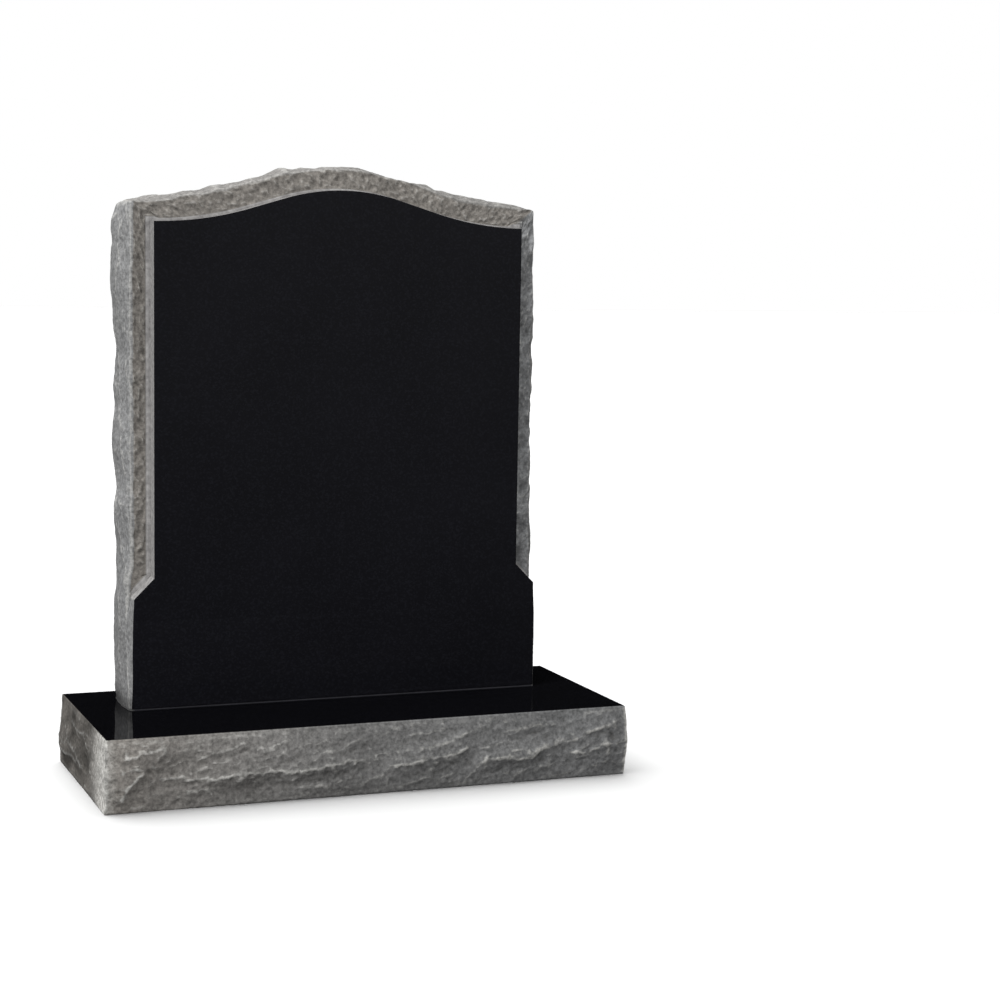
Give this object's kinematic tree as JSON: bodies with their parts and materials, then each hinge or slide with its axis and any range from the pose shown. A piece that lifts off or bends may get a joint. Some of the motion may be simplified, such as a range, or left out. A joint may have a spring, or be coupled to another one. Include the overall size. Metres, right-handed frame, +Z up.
{
  "type": "headstone",
  "caption": "Upright granite headstone: crested tablet with a raised polished panel and rock-pitched edges, bedded on a low base with a polished top and rock-pitched faces.",
  "frame": {"origin": "middle of the base's underside", "axes": "+Z up, the polished face looks towards -Y, +X to the right of someone reading the face"},
  "size_m": [0.7802, 0.3452, 0.8846],
  "materials": {
    "granite": "polished face and base top, rock-pitched edges, honed back",
    "setting_compound": "matt, struck off flush"
  },
  "bodies": {
    "root": {"tablet": "granite", "setting_bed": "setting_compound", "base": "granite"}
  },
  "joints": []
}
